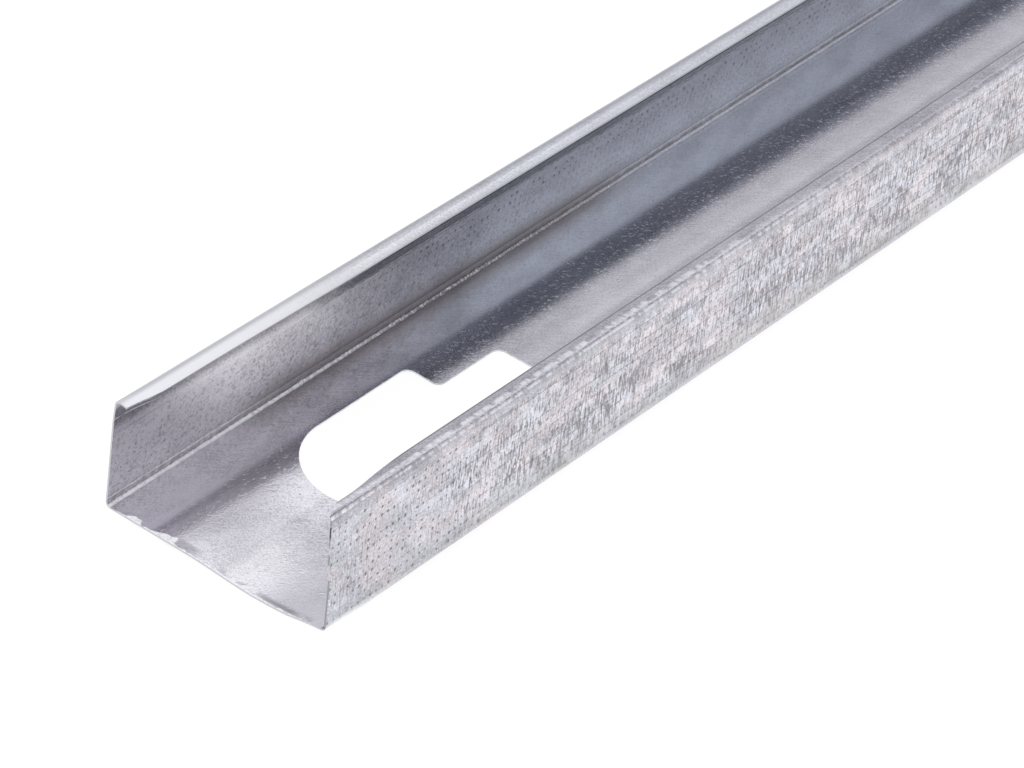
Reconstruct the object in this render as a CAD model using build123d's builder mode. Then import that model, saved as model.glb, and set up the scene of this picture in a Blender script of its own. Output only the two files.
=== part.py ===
"""
A light-gauge steel stud, the C-shaped cold-rolled profile that partition walls are framed with.

One strip of galvanised sheet is rolled to a web, two flanges and two stiffening lips, and punched
with knockouts. The stud lies on its web with its lips up, its length along X and its width along Y.
The origin is on the floor, under the middle of the stud. Sizes are in millimetres.
"""

from build123d import *
from math import cos, radians, tan
import os

# The section is measured over its outer faces, in the inch sizes that such studs are rolled to.
INCH = 25.4
stud_length = 96 * INCH
web_width = 2.5 * INCH
flange_height = 1.25 * INCH
lip_width = 0.1875 * INCH
sheet = 0.46
bend_radius = 1.0

# Rolled sheet keeps some spring: the flanges lean in over the web, and the lips dip towards it.
toe_in = 2.5
lip_dip = 8.0

# A knockout is keyhole-shaped, for pipes and cable, with a neck that a bridging channel locks in.
knockout_width = 1.4375 * INCH
knockout_length = 2 * INCH
neck_width = 0.6875 * INCH
neck_length = 0.875 * INCH
knockout_corner = 2.4

# The first knockout starts this far from the cut end, and they follow each other on 24 in. centres.
knockout_from_end = 1.5625 * INCH
knockout_spacing = 24 * INCH

os.makedirs("parts", exist_ok=True)

# The two bends of the left half are arcs of one radius, so the flange between them is a straight tangent.
outer_radius = bend_radius + sheet
foot_centre = (web_width / 2 - outer_radius, outer_radius)
rise = flange_height - 2 * outer_radius
shoulder_centre = (foot_centre[0] - rise * tan(radians(toe_in)), foot_centre[1] + rise)

# The knockouts that fit on the stud whole, by the place of their round end.
knockout_reach = knockout_length + neck_length
first_knockout = -stud_length / 2 + knockout_from_end
room = stud_length - 2 * knockout_from_end - knockout_reach
knockout_starts = [first_knockout + n * knockout_spacing for n in range(int(room // knockout_spacing) + 1)]

# One knockout, with its round end touching the origin and its neck pointing along X.
round_end = knockout_width / 2
with BuildSketch() as knockout:
    with Locations((round_end, 0)):
        Circle(round_end)
        Rectangle(knockout_length - round_end, knockout_width, align=(Align.MIN, Align.CENTER))
    with Locations((knockout_length, 0)):
        Rectangle(neck_length, neck_width, align=(Align.MIN, Align.CENTER))
    corners = knockout.vertices().filter_by_position(Axis.X, knockout_length, knockout_reach)
    fillet(corners, knockout_corner)

with BuildPart() as steel_stud:
    # The strip's section at the cut end: the outer faces of one half, the sheet inside them, and the
    # other half mirrored across the web.
    with BuildSketch(Plane.YZ.offset(-stud_length / 2)):
        with BuildLine():
            foot = CenterArc(foot_centre, outer_radius, -90, 90 + toe_in)
            shoulder = CenterArc(shoulder_centre, outer_radius, toe_in, 90 + lip_dip - toe_in)
            Line((0, 0), foot @ 0)
            Line(foot @ 1, shoulder @ 0)
            lip_edge = shoulder_centre[0] + outer_radius - lip_width
            lip_flat = ((shoulder @ 1).X - lip_edge) / cos(radians(lip_dip))
            PolarLine(shoulder @ 1, lip_flat, 180 + lip_dip)
            offset(amount=sheet, side=Side.LEFT)
        make_face()
        mirror(about=Plane.YZ)
    extrude(amount=stud_length)

    # The knockouts, punched out of the web.
    with BuildSketch():
        with Locations(*[(start, 0) for start in knockout_starts]):
            add(knockout.sketch)
    extrude(amount=sheet, mode=Mode.SUBTRACT)

steel_stud.part.label = "steel_stud"
export_step(steel_stud.part, "parts/steel_stud.step")
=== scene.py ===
# %% [markdown]
# # A light-gauge steel stud
#
# The stud is one strip of galvanised sheet. A roll former folds it into a C: a wide web, two flanges that
# stand up from it, and two narrow lips that fold inwards and keep the flanges stiff. A knurling wheel prints
# rows of small dents on the flanges, so that a screw point doesn't wander, and a punch cuts keyhole-shaped
# knockouts in the web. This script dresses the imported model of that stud: it keeps its frame and its size,
# and adds the bends, dents, scratches and zinc that make it look like a used piece of stock.

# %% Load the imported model
import random
from math import cos, pi, radians, sin, tan

import bmesh
import bpy
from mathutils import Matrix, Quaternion, Vector


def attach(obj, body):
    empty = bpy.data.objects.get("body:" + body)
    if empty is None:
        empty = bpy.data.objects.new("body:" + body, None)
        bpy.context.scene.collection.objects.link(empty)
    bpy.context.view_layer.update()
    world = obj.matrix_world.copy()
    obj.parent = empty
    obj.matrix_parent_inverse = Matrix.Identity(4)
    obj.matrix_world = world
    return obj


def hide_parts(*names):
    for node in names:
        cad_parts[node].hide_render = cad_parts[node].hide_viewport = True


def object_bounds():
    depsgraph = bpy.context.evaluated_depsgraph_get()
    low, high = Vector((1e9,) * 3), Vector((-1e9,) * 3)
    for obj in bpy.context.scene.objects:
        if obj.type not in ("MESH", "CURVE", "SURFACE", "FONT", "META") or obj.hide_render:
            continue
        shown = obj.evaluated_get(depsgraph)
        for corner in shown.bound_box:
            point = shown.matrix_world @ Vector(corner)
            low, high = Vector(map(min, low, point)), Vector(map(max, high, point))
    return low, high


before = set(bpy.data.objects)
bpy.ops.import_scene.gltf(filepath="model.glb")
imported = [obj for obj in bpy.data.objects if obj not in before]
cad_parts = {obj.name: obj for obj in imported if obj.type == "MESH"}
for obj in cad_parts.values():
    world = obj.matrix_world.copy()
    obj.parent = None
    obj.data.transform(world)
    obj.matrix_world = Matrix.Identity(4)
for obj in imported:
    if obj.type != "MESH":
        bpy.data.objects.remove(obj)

cad_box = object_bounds()
stud_length, web_width, stud_height = cad_box[1] - cad_box[0]
cut_end = cad_box[0].x
print(f"stud {stud_length:.4f} x {web_width:.4f} x {stud_height:.5f} m, cut end at x = {cut_end:.4f}")

# %% [markdown]
# ## The camera
#
# The photograph was taken from close by with a long lens, looking down along the stud, so the long edges run
# nearly parallel. The camera is placed as a tripod is: a point to look at, a bearing, a height angle, a
# distance and a small roll. Each is a named value, and the view is worked out from them.

# %% Camera
camera_target = Vector((cut_end + 0.10333, -0.00276, 0))
camera_azimuth = radians(56.18)
camera_elevation = radians(36.19)
camera_roll = radians(7.82)
camera_distance = 1.39326
camera_lens = 211
camera_sensor = 36

looking = Vector((
    sin(camera_azimuth) * cos(camera_elevation),
    cos(camera_azimuth) * cos(camera_elevation),
    -sin(camera_elevation),
))
bpy.ops.object.select_all(action="DESELECT")
bpy.ops.object.camera_add(location=camera_target - looking * camera_distance)
camera = bpy.context.object
camera.name = "camera"
camera.rotation_mode = "QUATERNION"
camera.rotation_quaternion = looking.to_track_quat("-Z", "Y") @ Quaternion((0, 0, 1), camera_roll)
camera.data.lens = camera_lens
camera.data.sensor_width = camera_sensor
camera.data.clip_start = 0.01
bpy.context.scene.camera = camera
print("camera at", [round(v, 3) for v in camera.location])

# %% [markdown]
# ## Shader nodes
#
# A material is a small network of nodes. A mark on the steel is often several soft masks multiplied
# together, and one maths node for each would hide the idea, so what a node puts out is wrapped in a class
# that knows sums, products and smooth steps. A formula then reads like one on paper, and adds its own nodes.


# %% Node helpers
class Value:
    """What a node puts out: a number, a place or a colour that changes over a surface."""

    def __init__(self, socket):
        self.socket = socket
        self.tree = socket.id_data

    def maths(self, operation, *others, clamp=False):
        """A maths node on this number and others."""
        inputs = dict(enumerate((self, *others)))
        return make(self.tree, "Math", inputs, operation=operation, use_clamp=clamp)

    def __add__(self, other):
        return self.maths("ADD", other)

    def __sub__(self, other):
        return self.maths("SUBTRACT", other)

    def __mul__(self, other):
        return self.maths("MULTIPLY", other)

    def scaled(self, factor, offset, clamp=False):
        """This number times a factor, plus an offset."""
        return self.maths("MULTIPLY_ADD", factor, offset, clamp=clamp)

    def plus(self, other, share, clamp=False):
        """This number plus a share of another."""
        return other.scaled(share, self, clamp)

    def at_least(self, other):
        """The larger of this number and another."""
        return self.maths("MAXIMUM", other)

    def step(self, start, end, low=0.0, high=1.0):
        """A smooth turn from low to high, as this number goes from start to end."""
        inputs = {"Value": self, "From Min": start, "From Max": end, "To Min": low, "To Max": high}
        return make(self.tree, "MapRange", inputs, interpolation_type="SMOOTHSTEP")

    def between(self, start, full, fading, end):
        """1 where this number lies from full to fading, and 0 before start and after end."""
        return self.step(start, full) * self.step(end, fading)


def add_node(tree, kind, inputs=None, **settings):
    """A new shader node. Each input is given a plain value, or is linked to where a Value comes from."""
    node = tree.nodes.new("ShaderNode" + kind)
    for name, setting in settings.items():
        setattr(node, name, setting)
    for name, given in (inputs or {}).items():
        if isinstance(given, Value):
            tree.links.new(given.socket, node.inputs[name])
        else:
            node.inputs[name].default_value = given
    return node


def make(tree, kind, inputs=None, output=0, **settings):
    """What a new shader node puts out."""
    return Value(add_node(tree, kind, inputs, **settings).outputs[output])


def blend(mask, under, over):
    """One colour laid over another: all of it where the mask is 1, none where it is 0."""
    return make(mask.tree, "Mix", {0: mask, 6: under, 7: over}, output=2, data_type="RGBA")


def colour(red, green, blue):
    """A colour as the four numbers that a socket takes."""
    return (red, green, blue, 1)


def new_material(name):
    """A material with an empty network."""
    material = bpy.data.materials.new(name)
    material.use_nodes = True
    material.node_tree.nodes.clear()
    return material


print("node helpers ready")

# %% [markdown]
# ## The studio
#
# Bare metal shows what stands round it more than it shows its own colour. The floor is white to the camera
# and in reflections, and part of its white is lit, so that it keeps a faint shadow of the stud. A Light Path
# node tells those rays apart, and no lamp has to be stronger for it.

# %% Floor
floor_size = 30
floor_gap = 0.001
floor_glow = 0.86
floor_white = colour(0.22, 0.22, 0.22)

bpy.ops.object.select_all(action="DESELECT")
bpy.ops.mesh.primitive_plane_add(size=floor_size, location=(0, 0, -floor_gap))
floor = bpy.context.object
floor.name = "floor"

floor_paint = new_material("studio_floor")
tree = floor_paint.node_tree
seen = make(tree, "LightPath", output="Is Camera Ray")
for ray in ("Is Glossy Ray", "Is Transmission Ray"):
    seen = seen.at_least(make(tree, "LightPath", output=ray))
lit = make(tree, "BsdfDiffuse", {"Color": floor_white})
glow = make(tree, "Emission", {"Color": colour(1, 1, 1), "Strength": seen * floor_glow})
add_node(tree, "OutputMaterial", {"Surface": make(tree, "AddShader", {0: lit, 1: glow})})
floor.data.materials.append(floor_paint)
print("floor", floor_size, "m wide")

# %% [markdown]
# The room is plain and pale. Three soft-edged patches of it matter, because the steel mirrors them: a grey
# wall, a bright panel, and a dim side that shows on the inside of the far flange and as a long streak on the
# web. Each is a cone of directions, compared with the direction that a ray looks in.

# %% World
room_pale = colour(0.93, 0.93, 0.97)
room_grey = colour(0.58, 0.58, 0.62)
room_bright = colour(1.12, 1.12, 1.15)
room_dim = colour(0.050, 0.053, 0.074)


def patch(direction, bearing, height, inner, outer):
    """1 within the inner angle of a direction in the room, 0 outside the outer angle. All are in degrees."""
    bearing = radians(bearing)
    height = radians(height)
    centre = Vector((sin(bearing) * cos(height), -cos(bearing) * cos(height), sin(height)))
    inputs = {0: direction, 1: centre}
    nearness = make(direction.tree, "VectorMath", inputs, output="Value", operation="DOT_PRODUCT")
    return nearness.step(cos(radians(outer)), cos(radians(inner)))


bpy.context.scene.view_settings.view_transform = "Standard"
world = bpy.data.worlds.new("studio_room")
bpy.context.scene.world = world
world.use_nodes = True
tree = world.node_tree
tree.nodes.clear()
direction = make(tree, "TexCoord", output="Generated")
paint = blend(patch(direction, bearing=128, height=26, inner=16, outer=30), room_pale, room_grey)
paint = blend(patch(direction, bearing=134, height=50, inner=11, outer=15.5), paint, room_bright)
paint = blend(patch(direction, bearing=55.5, height=29.5, inner=10.5, outer=12.5), paint, room_dim)
add_node(tree, "OutputWorld", {"Surface": make(tree, "Background", {"Color": paint, "Strength": 1.0})})
print("room painted with", len(tree.nodes), "nodes")

# %% [markdown]
# One large lamp, past the cut end and on the far side, gives the steel a soft direction of light. It is
# weak, as the room does most of the lighting.

# %% Lamp
lamp_place = (-2.6, 1.6, 2.4)
lamp_size = 1.6
lamp_power = 18

bpy.ops.object.select_all(action="DESELECT")
bpy.ops.object.light_add(type="AREA", location=lamp_place)
lamp = bpy.context.object
lamp.name = "soft_lamp"
lamp.data.size = lamp_size
lamp.data.energy = lamp_power
lamp.rotation_euler = (camera_target - lamp.location).to_track_quat("-Z", "Y").to_euler()
print("lamp of", lamp_power, "W at", lamp_place)

# %% [markdown]
# ## Selecting by place
#
# In edit mode a person clicks on what should change. A script selects by place instead: a test looks at each
# vertex, edge or face, and what passes is selected before the next operator runs.


# %% Selection helpers
def middle(edge):
    """The middle of an edge."""
    return (edge.verts[0].co + edge.verts[1].co) / 2


def span(part, axis):
    """How far an edge or face reaches along one axis."""
    places = [vertex.co[axis] for vertex in part.verts]
    return max(places) - min(places)


def pick(piece, kind, wanted):
    """Go to edit mode and select just the VERT, EDGE or FACE parts that pass the test. Returns how many."""
    bpy.context.view_layer.objects.active = piece
    bpy.ops.object.mode_set(mode="EDIT")
    bpy.ops.mesh.select_mode(type=kind)
    bpy.ops.mesh.select_all(action="DESELECT")
    mesh = bmesh.from_edit_mesh(piece.data)
    parts = {"VERT": mesh.verts, "EDGE": mesh.edges, "FACE": mesh.faces}[kind]
    found = [part for part in parts if wanted(part)]
    for part in found:
        part.select_set(True)
    mesh.select_flush_mode()
    bmesh.update_edit_mesh(piece.data)
    return len(found)


def cut(piece, place, direction):
    """Cut the whole piece with a plane."""
    pick(piece, "FACE", lambda face: True)
    bpy.ops.mesh.bisect(plane_co=place, plane_no=direction)


print("selection helpers ready")

# %% [markdown]
# ## Folding the strip
#
# The stud could be one extruded outline, but a roll former folds a flat strip, and a plane can be folded the
# same way: the web first, its two long edges pulled up into flanges, their edges pulled in as lips, and then
# a bevel that turns each fold into a round bend. The plane holds the outer faces, so the planes of web,
# flange and lip are drawn to where they would meet, and the bevel takes the corners off at the bend's
# radius.

# %% Section values
MM = 0.001
INCH = 25.4 * MM
sheet = 0.46 * MM
bend_radius = 1.0 * MM
lip_width = 3 / 16 * INCH
toe_in = radians(2.5)
lip_dip = radians(8)

outer_radius = bend_radius + sheet
foot_turn = pi / 2 + toe_in
foot_setback = outer_radius * tan(foot_turn / 2)
foot_corner = web_width / 2 - outer_radius + foot_setback

rise = stud_height - 2 * outer_radius
shoulder_turn = pi / 2 + lip_dip - toe_in
shoulder_setback = outer_radius * tan(shoulder_turn / 2)
shoulder_y = web_width / 2 - outer_radius - rise * tan(toe_in)
shoulder_centre = Vector((0, shoulder_y, stud_height - outer_radius))
bisector = (toe_in + pi / 2 + lip_dip) / 2
diagonal = Vector((0, cos(bisector), sin(bisector))) * outer_radius / cos(shoulder_turn / 2)
shoulder_corner = shoulder_centre + diagonal
lip_reach = shoulder_corner.y - (shoulder_y + outer_radius - lip_width)
print(f"shoulder corner at y {shoulder_corner.y:.5f}, z {shoulder_corner.z:.5f}, lip {lip_reach:.5f}")

# %% Web, flanges and lips
bpy.ops.object.select_all(action="DESELECT")
bpy.ops.mesh.primitive_plane_add(size=1)
stud = bpy.context.object
stud.name = "rolled_stud"
stud.scale = (stud_length, 2 * foot_corner, 1)
bpy.ops.object.transform_apply(location=False, rotation=False, scale=True)
for side in (1, -1):
    pick(stud, "EDGE", lambda edge: abs(middle(edge).y - side * foot_corner) < MM / 10)
    up = (0, side * (shoulder_corner.y - foot_corner), shoulder_corner.z)
    bpy.ops.mesh.extrude_edges_move(TRANSFORM_OT_translate={"value": up})
    inward = (0, -side * lip_reach, -lip_reach * tan(lip_dip))
    bpy.ops.mesh.extrude_edges_move(TRANSFORM_OT_translate={"value": inward})
print(len(bmesh.from_edit_mesh(stud.data).faces), "flat faces in the strip")

# %% Round bends
bend_segments = 6


def is_fold(edge, level):
    """Whether an edge runs along the stud between two faces, at this height."""
    along_stud = span(edge, 0) > stud_length / 2
    return along_stud and len(edge.link_faces) == 2 and abs(middle(edge).z - level) < MM


for level, setback in ((0, foot_setback), (stud_height, shoulder_setback)):
    folds = pick(stud, "EDGE", lambda edge: is_fold(edge, level))
    bpy.ops.mesh.bevel(offset=setback, offset_type="OFFSET", segments=bend_segments, affect="EDGES")
    print(folds, "folds rounded with a setback of", round(setback / MM, 3), "mm")

# %% [markdown]
# The strip now gets the lines that later steps move and dent. The knurling wheel leaves a lattice of dents,
# one twelfth of an inch apart along the stud and a little more than that up the flange, in eleven rows.
# Cells of just that size are cut where the dents become real geometry: near the cut end, where a person
# looks closely. Further along, the same dents are left to the material.

# %% Lines along the strip
knurl_pitch = INCH / 12
knurl_row = 2.28 * MM
knurl_rows = 11
knurl_far_rows = 7
knurl_base = 4.06 * MM
knurl_blocks = 4
block_columns = 55
block_length = block_columns * knurl_pitch
dented_length = knurl_blocks * block_length
web_lines = 6
lip_line = 1.2 * MM

cut(stud, (cut_end + dented_length, 0, 0), (1, 0, 0))
for row in range(knurl_rows + 1):
    cut(stud, (0, 0, knurl_base + row * knurl_row), (0, 0, 1))
for line in range(-web_lines + 1, web_lines):
    cut(stud, (0, line * web_width / 2 / web_lines, 0), (0, 1, 0))
for side in (1, -1):
    cut(stud, (0, side * (shoulder_y - lip_line), 0), (0, 1, 0))
print("dents are cut as far as", round(dented_length / MM), "mm from the cut end")

# %% [markdown]
# Subdivide makes a hundred cuts at most in one go, so the dented length is cut into blocks first and then
# each block into columns. Two more cuts close to the end leave short edges there for the faults that come
# later.

# %% Columns across the strip
plain_spacing = 40 * MM
long_edge = 4 * plain_spacing
end_steps = (0.5 * MM, 1.2 * MM)

pick(stud, "EDGE", lambda edge: span(edge, 0) > long_edge and middle(edge).x < cut_end + dented_length)
bpy.ops.mesh.subdivide(number_cuts=knurl_blocks - 1)
pick(stud, "EDGE", lambda edge: abs(span(edge, 0) - block_length) < MM)
bpy.ops.mesh.subdivide(number_cuts=block_columns - 1)
pick(stud, "EDGE", lambda edge: span(edge, 0) > long_edge)
bpy.ops.mesh.subdivide(number_cuts=round((stud_length - dented_length) / plain_spacing))
for step in end_steps:
    cut(stud, (cut_end + step, 0, 0), (1, 0, 0))
pick(stud, "FACE", lambda face: True)
bpy.ops.mesh.flip_normals()
bpy.ops.object.mode_set(mode="OBJECT")
print(len(stud.data.polygons), "faces in the folded strip")

# %% [markdown]
# ## Bumps and leaning
#
# Thin sheet never stays as straight as its drawing. Each fault here is one push in one direction, strongest
# where a weight says so. A vertex group holds the weights and a Displace modifier does the pushing, so the
# rest of the sheet follows smoothly.


# %% Push helper
def fade(value, start, end):
    """0 up to start, 1 from end on, and a smooth turn between them."""
    share = min(max((value - start) / (end - start), 0), 1)
    return share * share * (3 - 2 * share)


def push(piece, name, axis, distance, weight):
    """Move the vertices of a piece along X, Y or Z, each by its weight from 0 to 1."""
    group = piece.vertex_groups.new(name=name)
    for vertex in piece.data.vertices:
        amount = weight(vertex.co)
        if amount > 0:
            group.add([vertex.index], amount, "REPLACE")
    modifier = piece.modifiers.new(name, "DISPLACE")
    modifier.direction = axis
    modifier.mid_level = 0
    modifier.strength = distance
    modifier.vertex_group = name
    bpy.ops.object.modifier_apply(modifier=name)
    piece.vertex_groups.remove(piece.vertex_groups[name])
    print(name, round(distance / MM, 2), "mm along", axis)


def lip_share(place):
    """0 on a flange and 1 at the free edge of its lip."""
    inward = fade(abs(place.y), shoulder_corner.y, shoulder_corner.y - lip_reach)
    return inward * (place.z > stud_height * 0.9)


# %% Sag of the web
web_sag = 0.85 * MM
sag_reach = 29 * MM


def sag(place):
    """The web hangs below its bends, most of all along its middle, and a little aside at the cut end."""
    middle_sag = max(1 - (place.y / sag_reach) ** 2, 0)
    end_sag = fade(place.y, -28 * MM, -11 * MM) * (1 - fade(place.y, -11 * MM, 8 * MM))
    inland = fade(place.x - cut_end, 0, 35 * MM)
    return (inland * middle_sag + (1 - inland) * end_sag) * (place.z < MM)


push(stud, "sag", "Z", -web_sag, sag)

# %% [markdown]
# A flange that something heavy lay against leans in over the web. The far one leans more and more from the
# cut end, its top rolls round towards the lip, and the lip turns down with it. Well past the knockout it
# straightens again.

# %% Lean of the far flange
lean_in = 2.9 * MM
lean_reach = 290 * MM
curl_in = 0.45 * MM
curl_base = 23 * MM
lip_droop = 0.9 * MM


def straightens(place):
    """1 where the far flange leans, and 0 where it is straight again."""
    return 1 - fade(place.x - cut_end, 420 * MM, 900 * MM)


def far_lean(place):
    """More lean with height and with distance from the cut end."""
    rising = min((place.x - cut_end) / lean_reach, 1)
    return (place.y > 0) * max(place.z, 0) / stud_height * rising * straightens(place)


def far_curl(place):
    """The top of the flange, all along."""
    return max((place.z - curl_base) / (stud_height - curl_base), 0) ** 2 * (place.y > 0)


def far_droop(place):
    """The free edge of the lip, where its flange leans."""
    return lip_share(place) * fade(place.x - cut_end, 25 * MM, 90 * MM) * straightens(place) * (place.y > 0)


push(stud, "far_lean", "Y", -lean_in, far_lean)
push(stud, "far_curl", "Y", -curl_in, far_curl)
push(stud, "far_droop", "Z", -lip_droop, far_droop)

# %% [markdown]
# The shear that cut the stud and the ground that it landed on left this end out of true. The web's near
# corner is lifted and pushed back, the end of the near lip is torn and bent open, and the end of the far lip
# is pinched against its flange. Each fault is a push that dies away within a few millimetres of the cut.


# %% Places of the faults
def near_end(place, reach):
    """1 at the cut end, and 0 from that reach on."""
    return 1 - fade(place.x - cut_end, 0, reach)


def near_corner(place):
    """The corner between the web and the near flange, less and less up the flange."""
    share = 1 - 0.7 * place.z / stud_height
    return near_end(place, 16 * MM) * fade(-place.y, 20 * MM, web_width / 2) * share


def near_lip(place, reach):
    """The end of the near lip."""
    return near_end(place, reach) * lip_share(place) * (place.y < 0)


def near_nick(place):
    """The lower half of the near flange's cut edge."""
    low = place.z < knurl_base + 5.1 * knurl_row
    return near_end(place, 3 * MM) * max(place.z - knurl_base, 0) / (5 * knurl_row) * low * (place.y < 0)


def far_lip(place):
    """The end of the far lip."""
    return near_end(place, 9 * MM) * lip_share(place) * (place.y > 0)


def far_top(place):
    """The end of the far flange, more and more towards its top."""
    return near_end(place, 8 * MM) * place.z / stud_height * (place.y > 0)


print("six places for faults")

# %% Faults of the cut end
lip_tear = 22 * MM
lip_opening = 32 * MM

push(stud, "near_corner_lift", "Z", 0.6 * MM, near_corner)
push(stud, "near_corner_back", "X", 0.7 * MM, near_corner)
push(stud, "near_lip_open", "Y", -1.7 * MM, lambda place: near_lip(place, lip_opening))
push(stud, "near_lip_torn", "X", 7.5 * MM, lambda place: near_lip(place, lip_tear))
push(stud, "near_lip_raised", "Z", 0.8 * MM, lambda place: near_lip(place, lip_tear))
push(stud, "near_nick", "X", 0.6 * MM, near_nick)
push(stud, "far_lip_pinched", "Y", 1.3 * MM, far_lip)
push(stud, "far_top_forward", "X", -1.9 * MM, far_top)

# %% [markdown]
# The strip is still a surface, and its faces are the outer faces of the sheet. A Solidify modifier gives it
# the sheet's thickness inwards, so every push above has moved both sides of the sheet alike.

# %% Sheet thickness
thickness = stud.modifiers.new("thickness", "SOLIDIFY")
thickness.thickness = sheet
thickness.offset = -1
thickness.use_even_offset = True
bpy.ops.object.modifier_apply(modifier="thickness")
print(len(stud.data.polygons), "faces with the sheet's thickness")

# %% [markdown]
# ## Knockouts
#
# The punch cuts a keyhole: a slot with one round end and a narrower neck. The cutter starts as a cube. Its
# round end is a bevel as wide as half the slot, the neck is pulled out of the middle of its other end, and
# one small bevel rounds every corner left. An Array repeats it along the stud, and a Boolean takes it out of
# the web.

# %% Keyhole cutter
knockout_width = 1.4375 * INCH
knockout_length = 2 * INCH
neck_width = 0.6875 * INCH
neck_length = 0.875 * INCH
knockout_corner = 2.4 * MM
knockout_start = cut_end + 1.5625 * INCH
knockout_spacing = 24 * INCH
knockouts = 4
neck_start = knockout_start + knockout_length
round_segments = 28
punch_height = 10 * MM
hairline = MM / 1000

bpy.ops.object.select_all(action="DESELECT")
bpy.ops.mesh.primitive_cube_add(size=1, location=(knockout_start + knockout_length / 2, 0, 0))
punch = bpy.context.object
punch.name = "punch"
punch.scale = (knockout_length, knockout_width, punch_height)
bpy.ops.object.transform_apply(location=True, rotation=False, scale=True)
pick(punch, "EDGE", lambda edge: span(edge, 2) > MM and middle(edge).x < knockout_start + MM)
bpy.ops.mesh.bevel(offset=knockout_width / 2 - hairline, segments=round_segments, affect="EDGES")
print("round end with", round_segments, "segments")

# %% Neck of the keyhole
corner_segments = 8

for side in (1, -1):
    cut(punch, (0, side * neck_width / 2, 0), (0, 1, 0))


def neck_root(face):
    """Whether a face is the middle of the punch's square end."""
    centre = face.calc_center_median()
    return face.normal.x > 0.9 and abs(centre.y) < neck_width / 2


pick(punch, "FACE", neck_root)
bpy.ops.mesh.extrude_region_move(TRANSFORM_OT_translate={"value": (neck_length, 0, 0)})


def square_corner(edge):
    """Whether an upright edge is one of the corners at the neck or beyond it."""
    upright = span(edge, 2) > MM and middle(edge).x > neck_start - MM
    return upright and abs(edge.link_faces[0].normal.dot(edge.link_faces[1].normal)) < 0.5


corners = pick(punch, "EDGE", square_corner)
bpy.ops.mesh.bevel(offset=knockout_corner, segments=corner_segments, affect="EDGES")
bpy.ops.object.mode_set(mode="OBJECT")
print(corners, "corners rounded")

# %% Row of knockouts
repeat = punch.modifiers.new("repeat", "ARRAY")
repeat.use_relative_offset = False
repeat.use_constant_offset = True
repeat.constant_offset_displace = (knockout_spacing, 0, 0)
repeat.count = knockouts
bpy.ops.object.modifier_apply(modifier="repeat")
print(knockouts, "knockouts to punch")

# %% Punch the web
bpy.ops.object.select_all(action="DESELECT")
bpy.context.view_layer.objects.active = stud
stud.select_set(True)
punching = stud.modifiers.new("punching", "BOOLEAN")
punching.operation = "DIFFERENCE"
punching.solver = "EXACT"
punching.object = punch
bpy.ops.object.modifier_apply(modifier="punching")
bpy.data.objects.remove(punch)
print(len(stud.data.polygons), "faces after punching")

# %% [markdown]
# ## Knurl
#
# Every cell of the lattice gets one dent on each side of the sheet: an inset draws a small square in the
# middle of the cell, and a poke pushes the middle of that square into the metal. The wheel doesn't press
# evenly, so the dents are shared out at random between a few depths, and some are missed.

# %% Dents
dent_width = 0.62 * MM
dent_depths = {0.16 * MM: 0.45, 0.11 * MM: 0.35, 0.06 * MM: 0.12}


def on_knurl(centre):
    """Whether a place lies on the rows of the knurl. The far flange has fewer of them."""
    rows = knurl_far_rows if centre.y > 0 else knurl_rows
    return knurl_base < centre.z < knurl_base + rows * knurl_row


def is_cell(face):
    """Whether a face is one cell of the lattice on a flange."""
    on_rows = on_knurl(face.calc_center_median())
    on_columns = abs(span(face, 0) - knurl_pitch) < knurl_pitch / 10
    return on_rows and on_columns and abs(face.normal.y) > 0.9


cells = pick(stud, "FACE", is_cell)
bpy.ops.mesh.inset(thickness=(knurl_pitch - dent_width) / 2, use_individual=True)


def is_square(face):
    """Whether a face is one of the small squares that the inset drew."""
    small = face.calc_area() < 1.4 * dent_width * (dent_width + knurl_row - knurl_pitch)
    centre = face.calc_center_median()
    on_rows = on_knurl(centre)
    on_columns = centre.x < cut_end + dented_length
    return len(face.verts) == 4 and small and on_rows and on_columns and abs(face.normal.y) > 0.9


random.seed(12)
left = 1.0
for depth, share in dent_depths.items():
    chance = share / left
    dents = pick(stud, "FACE", lambda face: is_square(face) and random.random() < chance)
    bpy.ops.mesh.poke(offset=-depth)
    left -= share
    print(dents, "dents", round(depth / MM, 2), "mm deep")
bpy.ops.object.mode_set(mode="OBJECT")
bpy.ops.object.shade_smooth_by_angle(angle=radians(30))
stud.data.calc_loop_triangles()
print(cells, "cells,", len(stud.data.loop_triangles), "triangles in the stud")

# %% [markdown]
# ## Galvanised steel
#
# Zinc gives the sheet a pale lavender grey with a satin gloss, and where the knurling wheel ran it is matt,
# mottled and scratched. Nothing here is a picture: each mark is worked out from where a point lies on the
# stud, in millimetres, so the pattern keeps its real size. Marks that could serve in another finish too are
# node groups, which read a place and are built once.


# %% Group helpers
def new_group(name, *outputs):
    """A shader group that reads a place in millimetres, and that place."""
    group = bpy.data.node_groups.new(name, "ShaderNodeTree")
    group.interface.new_socket("Place", in_out="INPUT", socket_type="NodeSocketVector")
    for output in outputs:
        group.interface.new_socket(output, in_out="OUTPUT", socket_type="NodeSocketFloat")
    return group, Value(group.nodes.new("NodeGroupInput").outputs[0])


def close_group(group, **outputs):
    """Link the results of a group to its output sockets."""
    end = group.nodes.new("NodeGroupOutput")
    for name, value in outputs.items():
        group.links.new(value.socket, end.inputs[name])
    print("group", group.name, "with", len(group.nodes), "nodes")


def use_group(group, place):
    """What a group puts out at a place, by name."""
    node = add_node(place.tree, "Group", {0: place}, node_tree=group)
    return {output.name: Value(output) for output in node.outputs}


def split(place):
    """The three numbers of a place."""
    node = add_node(place.tree, "SeparateXYZ", {0: place})
    return [Value(output) for output in node.outputs]


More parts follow.
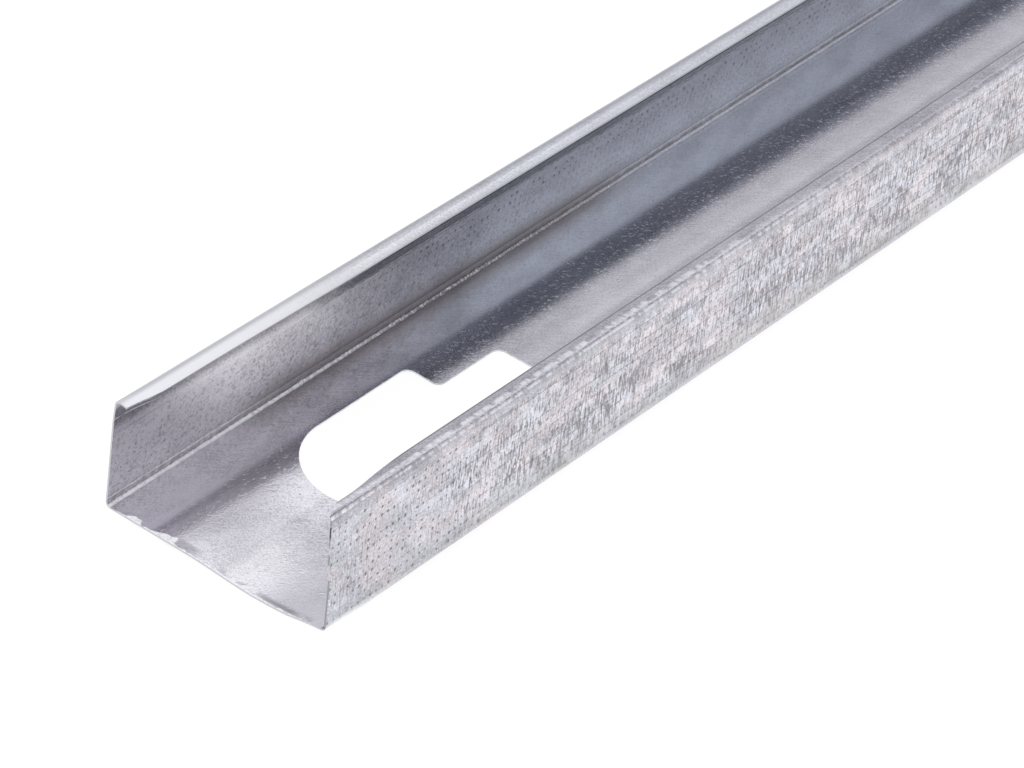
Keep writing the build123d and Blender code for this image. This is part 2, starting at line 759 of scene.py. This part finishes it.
def noise(place, scale, detail=3, stretch=(1, 1, 1), shift=(0, 0, 0)):
    """Noise from 0 to 1, with its scale in marks per millimetre along each axis."""
    place = make(place.tree, "Mapping", {"Vector": place, "Scale": stretch, "Location": shift})
    return make(place.tree, "TexNoise", {"Vector": place, "Scale": scale, "Detail": detail})


print("group helpers ready")

# %% [markdown]
# The rolled grain of zinc is very fine: a speckle under half a millimetre, drawn out a little along the stud
# by the rolls, over larger soft clouds. A few crystals catch the light at an angle to the rolling.

# %% Grain group
crystal_turn = radians(43)

grain_group, place = new_group("zinc_grain", "Tone", "Height", "Crystal")
speckle = noise(place, 2.2, 3, (0.8, 1, 1))
turn = {"Vector": place, "Angle": crystal_turn}
turned = make(place.tree, "VectorRotate", turn, rotation_type="Z_AXIS")
drawn = noise(turned, 1.4, 2, (0.16, 1.5, 1.5))
crystal = noise(turned, 1.6, 2, (0.6, 1, 1), (3.1, 0, 0)).step(0.62, 0.70)
clouds = noise(place, 0.14, 3, (0.6, 1, 1))
tone = (drawn * 0.22).plus(speckle, 0.5).plus(clouds, 0.28)
close_group(grain_group, Tone=tone, Height=speckle, Crystal=crystal)

# %% [markdown]
# The lattice of the knurl is worked out the same way as its cells in the mesh, so each dark speck lies in
# its own dent. Dividing a place by the pitch gives a cell number and a place within that cell, and a random
# value for each cell number makes some dents faint. The same trick with wider cells gives brick-like
# patches.

# %% Knurl group
speck_width = 0.30
speck_height = 0.35


def cell_chance(column, side, row):
    """A random number for each cell of a lattice, on each side of the stud."""
    cell = {"X": column.maths("FLOOR"), "Y": side, "Z": row.maths("FLOOR")}
    cell = make(side.tree, "CombineXYZ", cell)
    return make(side.tree, "TexWhiteNoise", {"Vector": cell}, output="Value")


knurl_group, place = new_group("knurl_lattice", "Speck", "Brick", "Line")
along, across, height = split(place)
column = along.maths("DIVIDE", knurl_pitch / MM)
row = (height - knurl_base / MM).maths("DIVIDE", knurl_row / MM)
side = across.maths("SIGN")
chance = cell_chance(column, side, row)

beside = (column.maths("FRACT") - 0.5) * (knurl_pitch / MM / speck_width)
above = (row.maths("FRACT") - 0.5) * (knurl_row / MM / speck_height)
distance = (beside * beside).plus(above, above) * chance.step(0.2, 1.0, 1.6, 0.45)
speck = distance.step(1.3, 0.2) * chance.step(0.0, 0.6)

course = (row + 0.5).maths("FLOOR")
brick = cell_chance((column * 0.45).plus(course, 0.37), side, course)
runs = noise(place, 1, 1, (0.04, 0.1, 0.44)).step(0.46, 0.56)
line = above.maths("ABSOLUTE").step(0.45, 0.15) * runs
close_group(knurl_group, Speck=speck, Brick=brick, Line=line)

# %% [markdown]
# Stacks of studs rub on each other, and their flanges come out mottled: short upright strokes with bright
# zinc between them, narrow nicks, and clouds about as wide as a finger that say where all of it is strong.

# %% Rubbing group
rub_group, place = new_group("stack_rubbing", "Stroke", "Shine", "Nick", "Cloud")
strokes = noise(place, 1.0, 2, (1.9, 1, 0.34))
nicks = noise(place, 1.0, 1, (4.2, 1, 1.0), (7.7, 0, 1.3)).step(0.54, 0.66)
clouds = noise(place, 0.09, 3, (0.8, 1, 1.3)).step(0.42, 0.58)
stroke = strokes.step(0.53, 0.62)
shine = strokes.step(0.47, 0.36)
close_group(rub_group, Stroke=stroke, Shine=shine, Nick=nicks, Cloud=clouds)

# %% [markdown]
# The masks of the finish are drawn on the stud like places on a map, all in millimetres: along from the cut
# end, across from the middle of the web, and the height above its underside. Close to the bends a distance
# aside from the middle serves better than across, as it is set right for the lean and the curl of the far
# flange.

# %% Places on the stud
to_mm = (1000, 1000, 1000)

zinc = new_material("galvanised_steel")
place = make(zinc.node_tree, "TexCoord", output="Object")
inputs = {"Vector": place, "Scale": to_mm, "Location": (-cut_end / MM, 0, 0)}
place = make(zinc.node_tree, "Mapping", inputs)
along, across, height = split(place)
near_side = across.step(1, -1)
far_side = across.step(-1, 1)
on_web = height.step(3, 1)
leaned = along.maths("DIVIDE", lean_reach / MM, clamp=True).scaled(lean_in / MM, curl_in / MM)
aside = across.maths("ABSOLUTE").plus(leaned * height * far_side, MM / stud_height)
grain = use_group(grain_group, place)
knurl = use_group(knurl_group, place)
rubbing = use_group(rub_group, place)


def done(what):
    """Print what the zinc has got, and how large its network is by now."""
    print(what, "done,", len(zinc.node_tree.nodes), "nodes in the zinc")


done("places")

# %% [markdown]
# Both flanges are knurled from just above the web's bend, and the rows of the far one stop lower. Rubbing
# marks lie where the knurl does, mostly at mid height. They start some way from the cut end, and are faint
# on the inside of the far flange, which other studs can't reach.

# %% Knurled and rubbed zones
near_rows_top = 29.2
far_rows_top = 21.2

rows_top = far_side.scaled(far_rows_top - near_rows_top, near_rows_top)
knurled = height.step(1.6, 2.6) * (rows_top - height).step(0, 0.5)
rubbed = knurled * along.step(32, 60, 0.3, 1.0) * across.step(-1, 1, 1.0, 0.12)
cloudy = rubbing["Cloud"] * height.between(4, 9, 21, 26)
worn = cloudy.scaled(0.65, 0.35) * rubbed
done("zones")

# %% [markdown]
# A tone from 0 for dull zinc to 1 for bright zinc gathers the marks first, and becomes a colour later. On
# the web it is the grain, with painted highlights where the metal bulges towards the light, at the near
# corner of the cut end and in a patch by the far bend. A band of painted shade follows further on, where the
# grain is calmer too.

# %% Tone of the web
plain_tone = 0.64
end_contrast = 2.6
far_contrast = 1.5

painted_lit_end = along.step(18, 5) * across.step(-2, -12)
painted_lit_patch = across.between(10, 13, 18.5, 21) * along.step(70, 30)
painted_dim_band = across.between(1, 5, 9, 12) * along.step(50, 120)
# painted highlights at the near corner of the cut end and by the far bend, and a band of painted shade
light = (painted_lit_end * 0.38).plus(painted_dim_band, -0.16).plus(painted_lit_patch, 0.38)
calmer = on_web * along.step(60, 130)
contrast = calmer.scaled(far_contrast - end_contrast, end_contrast)
tone = (grain["Tone"] - 0.5).scaled(contrast, plain_tone).plus(light, on_web)
done("tone of the web")

# %% [markdown]
# The near flange's outside is a little darker along its two bends. The inside of the far one has a painted
# shadow under its lip near the cut end, is finely pitted for the first 170 mm, and is darker around 90 mm
# from the end.

# %% Tone of the bends and of the far flange
outside = near_side * aside.step(29.3, 29.9)
fringe = height.step(28.2, 29.2) * along.step(25, 42, 2.3, 1.0)
fringe = fringe.at_least(height.step(6, 3))
# painted shadow of the lip on the inside of the far flange
lip_shadow = far_side * height.between(21.5, 25.0, 28.5, 29.5) * along.step(100, 50)
pits = noise(place, 0.8, 2, (0.8, 1, 1), (5.2, 0, 1.7)).step(0.54, 0.66)
pits = pits * far_side * knurled * along.step(170, 110)
darker_stretch = far_side * along.between(35, 65, 115, 150)

marks = ((outside * fringe, -0.13), (lip_shadow, -0.75), (pits, -0.28), (far_side, 0.26), (darker_stretch, -0.20))
for mark, share in marks:
    tone = tone.plus(mark, share)
done("tone of the far flange")

# %% [markdown]
# Now the marks of use. Each one takes its share from the tone, or gives one where rubbing has polished the
# zinc. The brick patches are painted light and shade, each facet of the knurl lit a little differently. The
# last sum is clamped, because a tone beyond 0 to 1 would make colours that zinc never has.

# %% Tone of the rubbing marks
rub_tones = {"Stroke": -0.95, "Nick": -0.45, "Shine": 0.42}
brick_light_tone = 0.40
line_tone = -0.50

for mark, share in rub_tones.items():
    tone = tone.plus(rubbing[mark] * worn, share)
# painted light and shade on the knurl's facets, as brick patches
tone = tone.plus((knurl["Brick"] - 0.5) * rubbed, brick_light_tone)
tone = tone.plus(knurl["Line"] * rubbed, line_tone, clamp=True)
done("tone of the rubbing marks")

# %% [markdown]
# The tone then picks a colour between dull and bright zinc. Bright zinc is bluer on the far half of the web,
# and on the outside it comes in patches of faint pink and lilac, from the thin film that zinc weathers to. A
# painted highlight whitens the web at the near corner of the cut end.

# %% Zinc colours
# The dull zinc colour also paints shade, and the white one paints highlights.
dull_zinc_and_shade = colour(0.29, 0.28, 0.305)
zinc_light = colour(0.88, 0.86, 0.905)
zinc_blue = colour(0.84, 0.87, 0.93)
zinc_pink = colour(0.91, 0.86, 0.90)
zinc_lilac = colour(0.84, 0.85, 0.925)
highlight_white = colour(0.96, 0.96, 0.98)

bright = blend(across.step(7, 15) * along.step(60, 140), zinc_light, zinc_blue)
patches = noise(place, 0.09, 2, (0.8, 1, 1.5), (2.2, 0, 0)).step(0.42, 0.58)
bright = blend(outside * 0.8, bright, blend(patches, zinc_pink, zinc_lilac))
paint = blend(tone, dull_zinc_and_shade, bright)
# painted highlight on the web at the near corner of the cut end
painted_lit_corner = on_web * along.step(32, 12) * across.step(3, -4)
paint = blend(painted_lit_corner * 0.4, paint, highlight_white)
done("zinc colours")

# %% [markdown]
# Dirt has a colour of its own. The strokes are a little brown, the foot of the far flange has a brown stain
# that gathers in its bend, and the outside turns grey green towards the floor.

# %% Stains
brown_grey = colour(0.41, 0.365, 0.345)
green_grey = colour(0.56, 0.585, 0.565)

paint = blend(rubbing["Stroke"] * worn * 0.35, paint, brown_grey)
stain = far_side * height.step(9, 3) * aside.step(27.5, 30.3) * along.between(35, 65, 165, 205)
cleaner = height.step(1.0, 0.5) * along.step(120, 70)
stain = stain * cleaner.scaled(-0.5, 1.0) * height.step(1.0, 0.5, 1.0, 0.5)
paint = blend(stain * 0.65, paint, brown_grey)
paint = blend(rubbed * height.step(9, 4) * 0.30, paint, green_grey)
done("stains")

# %% [markdown]
# The dents of the knurl are shown as dark specks of painted shade: plainly near the cut end, less so further
# on and inside the far flange, but plainly again in that flange's upper rows. The same painted shade lines
# the free edge of the lips.

# %% Specks in the knurl
painted_shade_dark = colour(0.16, 0.15, 0.17)

plainness = across.step(-1, 1, 1.0, 0.45) * along.step(40, 70, 1.0, 0.6)
upper_rows = far_side * height.step(12.5, 15.5) * along.step(60, 100)
specks = knurl["Speck"] * knurled * plainness.at_least(upper_rows * 0.95)
# painted shade in the dents of the knurl
paint = blend(specks * 0.80, paint, painted_shade_dark)
lip_edge = aside.step(26.25, 26.0) * height.step(29, 30)
# painted shade along the free edge of the lips
paint = blend(lip_edge * 0.6, paint, painted_shade_dark)
done("specks")

# %% [markdown]
# The shear left a burr on the web's edge: two bright flaps of torn zinc with a ragged outline, and a thin
# line of it elsewhere. Their white is a painted highlight. The outline is a depth along the stud that
# changes across the web, so a point is on the burr where its own distance from the end is smaller than that
# depth.

# %% Burr of the cut end
burr_ragged = 1.4
burr_depth = 0.35

wide_flap = across.between(21.2, 22.6, 24.4, 26.8)
long_flap = across.between(11.8, 12.3, 12.5, 21.0)
flaps = (wide_flap * 1.5).plus(long_flap, 2.4)
ragged = noise(place, 0.7, 2) - 0.5
flaps = flaps.plus(ragged, flaps * 1.2)
depth = flaps.at_least(ragged.scaled(burr_ragged, burr_depth))
burr = on_web * (depth - along).step(-0.05, 0.05) * across.step(29, 27)
chipped = noise(place, 1.5, 1).step(0.52, 0.66, 0.0, 0.3)
done("burr")

# %% [markdown]
# Behind the burr the zinc is smeared dull in one place, and along the near half of the edge it is bruised,
# in a crescent and in spots. The burr itself is painted last, over both.

# %% Bruises of the cut end
smear = on_web * across.between(3, 8, 11, 13) * along.step(3.8, 2.2)
paint = blend(smear * 0.55, paint, dull_zinc_and_shade)
crescent = across.between(-26, -21, -14, -11)
spots = noise(place, 0.3, 2).step(0.44, 0.60, 0.0, 0.7)
bruise = on_web * along.between(0.4, 0.9, 1.2, 2.8) * crescent.at_least(spots) * across.step(3, -2)
paint = blend(bruise * 0.65, paint, dull_zinc_and_shade)
# the burr, whose white is a painted highlight, with grey chips in it
paint = blend(burr, paint, blend(chipped, highlight_white, dull_zinc_and_shade))
done("bruises")

# %% [markdown]
# Inside the far bend a line of painted highlight runs along the arc, broken into beads. A point's distance
# from the middle of the bend, outward and downward, tells where on the arc it lies. Further along the beads
# break up into grit.

# %% Painted highlight in the far bend
bend_middle = (web_width / 2 - outer_radius) / MM

outward = aside - bend_middle
crinkle = noise(place, 1.3, 2) - 0.5
downward = height.scaled(-1, outer_radius / MM).plus(crinkle, 0.7)
from_middle = (outward * outward).plus(downward, downward)
in_bend = far_side * outward.between(-0.05, 0.15, 1.22, 1.30) * from_middle.step(1.62, 1.42)
beads = noise(place, 1.1, 1, (1, 0.4, 0.4)).step(0.38, 0.56, 0.30, 1.0)
grit = noise(place, 1.9, 1, (1, 1, 1), (0, 2.3, 0)).step(0.47, 0.60)
beads = beads * (grit - 1).scaled(along.step(50, 110), 1.0) * along.step(70, 190, 1.0, 0.40)
# the painted highlight along the far bend
far_bend_highlight = in_bend * downward.step(0.50, 0.66) * beads
done("beads")

# %% [markdown]
# Just above the beads runs a thin line of painted shade, and more painted shade lies over it on the foot of
# the flange and fills the gaps between the beads. The beads of highlight are painted over all of that.

# %% Painted shade by the far bend
dark_edge = downward.step(0.52, 0.36)
crease_shade = dark_edge * downward.step(-1.0, -0.3) * far_side * outward.between(0.60, 0.75, 1.22, 1.30)
crease_shade = crease_shade * noise(place, 0.6, 1).step(0.3, 0.6, 0.35, 0.75)
# painted shade line just above the highlight of the far bend
paint = blend(crease_shade, paint, dull_zinc_and_shade)
foot_shade = dark_edge * downward.step(-3.4, -0.6) * far_side * outward.step(0.60, 0.75)
gaps = in_bend * beads.scaled(-1, 1) * along.step(60, 120)
foot_shade = (foot_shade * along.step(40, 80, 0.25, 1.0)).at_least(gaps) * along.step(220, 130, 0.25, 1.0)
# painted shade on the foot of the far flange and between the beads
paint = blend(foot_shade * 0.60, paint, painted_shade_dark)
# the painted highlight of the far bend goes over the shade
paint = blend(far_bend_highlight, paint, highlight_white)
done("crease and soot")

# %% [markdown]
# Two marks are painted light. A long dark streak on the web is a painted reflection of the dim side of the
# room, deeper than the hollow mirrors it, and a thin painted highlight runs along a seam of the far flange
# above its last row of knurl, rising towards the cut end.

# %% Painted streak and seam highlight
streak_reflection = on_web * across.between(9.5, 12.5, 17.5, 20.5) * along.step(95, 135)
# painted reflection: the dark streak on the web
paint = blend(streak_reflection * 0.27, paint, painted_shade_dark)
from_seam = (height - along.step(32, 0, 21.3, 25.9)).maths("ABSOLUTE")
shown = along.step(15, 10, 0.0, 0.8).at_least(along.step(40, 65, 0.0, 0.7))
seam_highlight = far_side * from_seam.step(0.26, 0.08) * shown
seam_highlight = seam_highlight * noise(place, 0.5, 1).step(0.35, 0.60, 0.4, 1.0)
# painted highlight along the seam of the far flange
paint = blend(seam_highlight, paint, highlight_white)
done("streak and seam")

# %% [markdown]
# The top of the near flange is what every hand and every other stud touches. On the lip, a narrow ridge is
# scuffed bright in patches, whose white is a painted highlight, with painted shade between them. The crest
# beside it gets painted shade that grows with distance, and a thin dark line of painted reflection parts it
# from the bend.

# %% Painted highlight and shade on the near lip
near_top = near_side * height.step(30.6, 31.1)
ridge = near_top * aside.between(27.65, 27.95, 28.85, 29.15) * along.step(200, 120)
patchy = noise(place, 0.22, 3, (1, 0.1, 0.1)).step(0.43, 0.51)
patchy = patchy.at_least(along.step(34, 24, 0.0, 0.8))
# painted shade on the ridge between the highlights
paint = blend(ridge * patchy.scaled(-0.25, 0.25), paint, dull_zinc_and_shade)
scuff_highlight = noise(place, 0.9, 2, (1, 0.5, 0.5), (0, 6.3, 0)).step(0.34, 0.58, 0.25, 1.0)
scuff_highlight = ridge * patchy * scuff_highlight
# painted highlight in patches on the ridge
paint = blend(scuff_highlight * 0.85, paint, highlight_white)
crest_shade = near_top * aside.between(28.1, 28.9, 29.3, 29.5)
crest_shade = crest_shade * along.step(25, 50) * along.step(150, 215, 0.08, 0.42)
# painted shade on the crest, growing with distance
paint = blend(crest_shade, paint, dull_zinc_and_shade)
bend_dark_line = near_top * aside.between(29.38, 29.50, 29.66, 29.80)
bend_dark_line = bend_dark_line * noise(place, 0.9, 2).step(0.38, 0.6, 0.20, 0.95)
# painted dark line of reflection on the bend
paint = blend(bend_dark_line, paint, dull_zinc_and_shade)
done("near lip")

# %% [markdown]
# On the round of the near bend, darker slabs alternate with slabs of painted highlight.

# %% Slabs on the near bend
slabs = noise(place, 0.6, 2, (1, 0.4, 0.4), (0, 9.1, 0))
darker_slabs = near_side * aside.step(29.5, 29.8) * height.step(28.3, 28.8)
paint = blend(darker_slabs * slabs.step(0.42, 0.56, 0.26, 0.0), paint, dull_zinc_and_shade)
near_bend_highlight = near_side * aside.step(29.78, 29.96) * height.step(30.95, 31.20) * along.step(215, 180)
# painted highlight in slabs on the round of the near bend
paint = blend(near_bend_highlight * slabs.step(0.38, 0.60, 0.25, 1.0), paint, highlight_white)
done("slabs")

# %% [markdown]
# A person looking into the stud sees the top of the far lip, and its underside as a dark image in the flange
# below. The two are told apart by the way that they face. The top gets a painted white highlight, most of
# all near the cut end, and a grey line of painted reflection along its outer bend. The underside gets
# painted shade.

# %% Far lip
facing = split(make(zinc.node_tree, "NewGeometry", output="Normal"))[2]
lip = far_side * height.step(29.5, 30.2)
lip_top = lip * facing.step(0.3, 0.7)
# painted highlight on the top of the far lip
paint = blend(lip_top * along.step(110, 30, 0.35, 0.90), paint, highlight_white)
# painted reflection: a grey line along the far lip's outer bend
paint = blend(lip_top * aside.step(28.4, 29.3) * 0.35, paint, dull_zinc_and_shade)
lip_under_shade = lip * facing.step(-0.5, -0.8) * aside.step(26.2, 28.6) * along.step(45, 110)
# painted shade on the underside of the far lip
paint = blend(lip_under_shade * 0.60, paint, painted_shade_dark)
done("far lip")

# %% [markdown]
# Zinc is a metal, so it mirrors the room in its own colour. Where it is torn or scuffed it scatters light
# like a powder, and counts as less of a metal, and so it does under the painted highlights of the far bend
# and of the seam. The smooth band of the far flange does too, a little.

# %% Metal
mirror_band = far_side * height.between(20.9, 21.6, 28.5, 29.5) * along.step(65, 95)
metal = far_bend_highlight.scaled(-0.65, 1.0).plus(scuff_highlight, -0.30).plus(seam_highlight, -0.80)
metal = metal.plus(mirror_band, along.step(150, 230, -0.19, -0.30))
metal = metal.plus(burr, -1.0, clamp=True)
done("metal")

# %% [markdown]
# Roughness is how far a mirror image is smeared. The plain sheet is smooth, the knurl is much rougher, and
# the smooth band of the far flange clears up with distance from the cut end.

# %% Roughness
smooth_rough = 0.10
knurl_rough = 0.33

smooth_band = far_side * height.step(20.4, 21.8)
band_rough = along.step(55, 90, 0.30, 0.03) + along.step(150, 290, 0.0, 0.03)
on_bend = aside.step(29.4, 29.8) * height.step(29.8, 30.4)
roughness = knurled.scaled(knurl_rough, smooth_rough).plus(grain["Tone"], 0.06)
roughness = roughness.plus(in_bend, 0.25).plus(smooth_band, band_rough).plus(on_bend, 0.30)
done("roughness")

# %% [markdown]
# Relief too small for the mesh is a bump: it only tilts the light. One bump is the grain, with the dents of
# the knurl beyond where they are cut. Another is a long, shallow hollow across the web. It is under the
# grain, so its own bump comes first and the grain's bump starts from it.

# %% Relief
further = along.maths("GREATER_THAN", dented_length / MM)
grain_depth = knurled.scaled(0.22, 0.11) * lip_top.scaled(-0.6, 1.0)
grain_depth = grain_depth.plus(on_web * along.step(70, 40), 0.12)
relief = (specks * further * -1.0).plus(grain["Height"], grain_depth)
relief = relief.plus(grain["Crystal"] * on_web, 0.22)

hollow = (across - along.step(60, 10, 0.0, 2.5)).step(-10, 26)
lifted = across.step(8, 19) * along.step(50, 12)
shoulder = aside.step(29.4, 28.0) * height.step(29, 30)
hollow = (hollow.plus(lifted, 0.13) * on_web).plus(shoulder, 0.10)
done("relief")

# %% [markdown]
# All of it meets in one Principled shader, which replaces the plain material that the strip came with.

# %% Zinc material
hollow_depth = 2.4 * MM
grain_relief = 0.12 * MM

bump = {"Height": hollow, "Strength": 1.0, "Distance": hollow_depth}
bump = make(zinc.node_tree, "Bump", bump)
bump = {"Height": relief, "Strength": 0.6, "Distance": grain_relief, "Normal": bump}
bump = make(zinc.node_tree, "Bump", bump)
finish = {"Base Color": paint, "Metallic": metal, "Roughness": roughness, "Normal": bump}
finish = make(zinc.node_tree, "BsdfPrincipled", finish)
add_node(zinc.node_tree, "OutputMaterial", {"Surface": finish})
stud.data.materials.clear()
stud.data.materials.append(zinc)
done("zinc")

# %% [markdown]
# Where the strip was sheared, the steel shows under its zinc, with dark patches up the near flange, and a
# painted shadow high on the near flange's end, under its lip. That finish goes on the narrow end faces
# alone, which are found by the way that they face.

# %% Sheared edge
shear_light = colour(0.60, 0.59, 0.61)
shear_dark_and_shade = colour(0.10, 0.10, 0.11)

sheared = new_material("sheared_edge")
place = make(sheared.node_tree, "TexCoord", output="Object")
place = make(sheared.node_tree, "Mapping", {"Vector": place, "Scale": to_mm})
along, across, height = split(place)
near_side = across.step(1, -1)
dark = near_side * height.step(0.8, 1.6) * noise(place, 0.5, 3).step(0.35, 0.50)
slot_shadow = near_side * height.between(25.5, 26.5, 29.0, 29.5)
# the slot high on the near flange's end is painted shadow
paint = blend((dark * 0.55).at_least(slot_shadow), shear_light, shear_dark_and_shade)
torn = {"Height": use_group(grain_group, place)["Height"], "Strength": 0.8, "Distance": 0.15 * MM}
torn = make(sheared.node_tree, "Bump", torn)
finish = {"Base Color": paint, "Metallic": 1.0, "Roughness": 0.42, "Normal": torn}
finish = make(sheared.node_tree, "BsdfPrincipled", finish)
add_node(sheared.node_tree, "OutputMaterial", {"Surface": finish})
stud.data.materials.append(sheared)
print("sheared edge with", len(sheared.node_tree.nodes), "nodes")

# %% Faces of the sheared ends
end_zone = 9 * MM
largest_face = 8 * MM * MM


def end_face(face):
    """Whether a face is part of the sheared ends of the strip."""
    at_end = abs(face.calc_center_median().x) > stud_length / 2 - end_zone
    return at_end and abs(face.normal.x) > 0.8 and face.calc_area() < largest_face


ends = pick(stud, "FACE", end_face)
stud.active_material_index = 1
bpy.ops.object.material_slot_assign()
bpy.ops.object.mode_set(mode="OBJECT")
print(ends, "sheared faces")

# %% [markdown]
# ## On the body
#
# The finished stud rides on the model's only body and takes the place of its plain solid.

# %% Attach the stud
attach(stud, "root")
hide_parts("steel_stud")
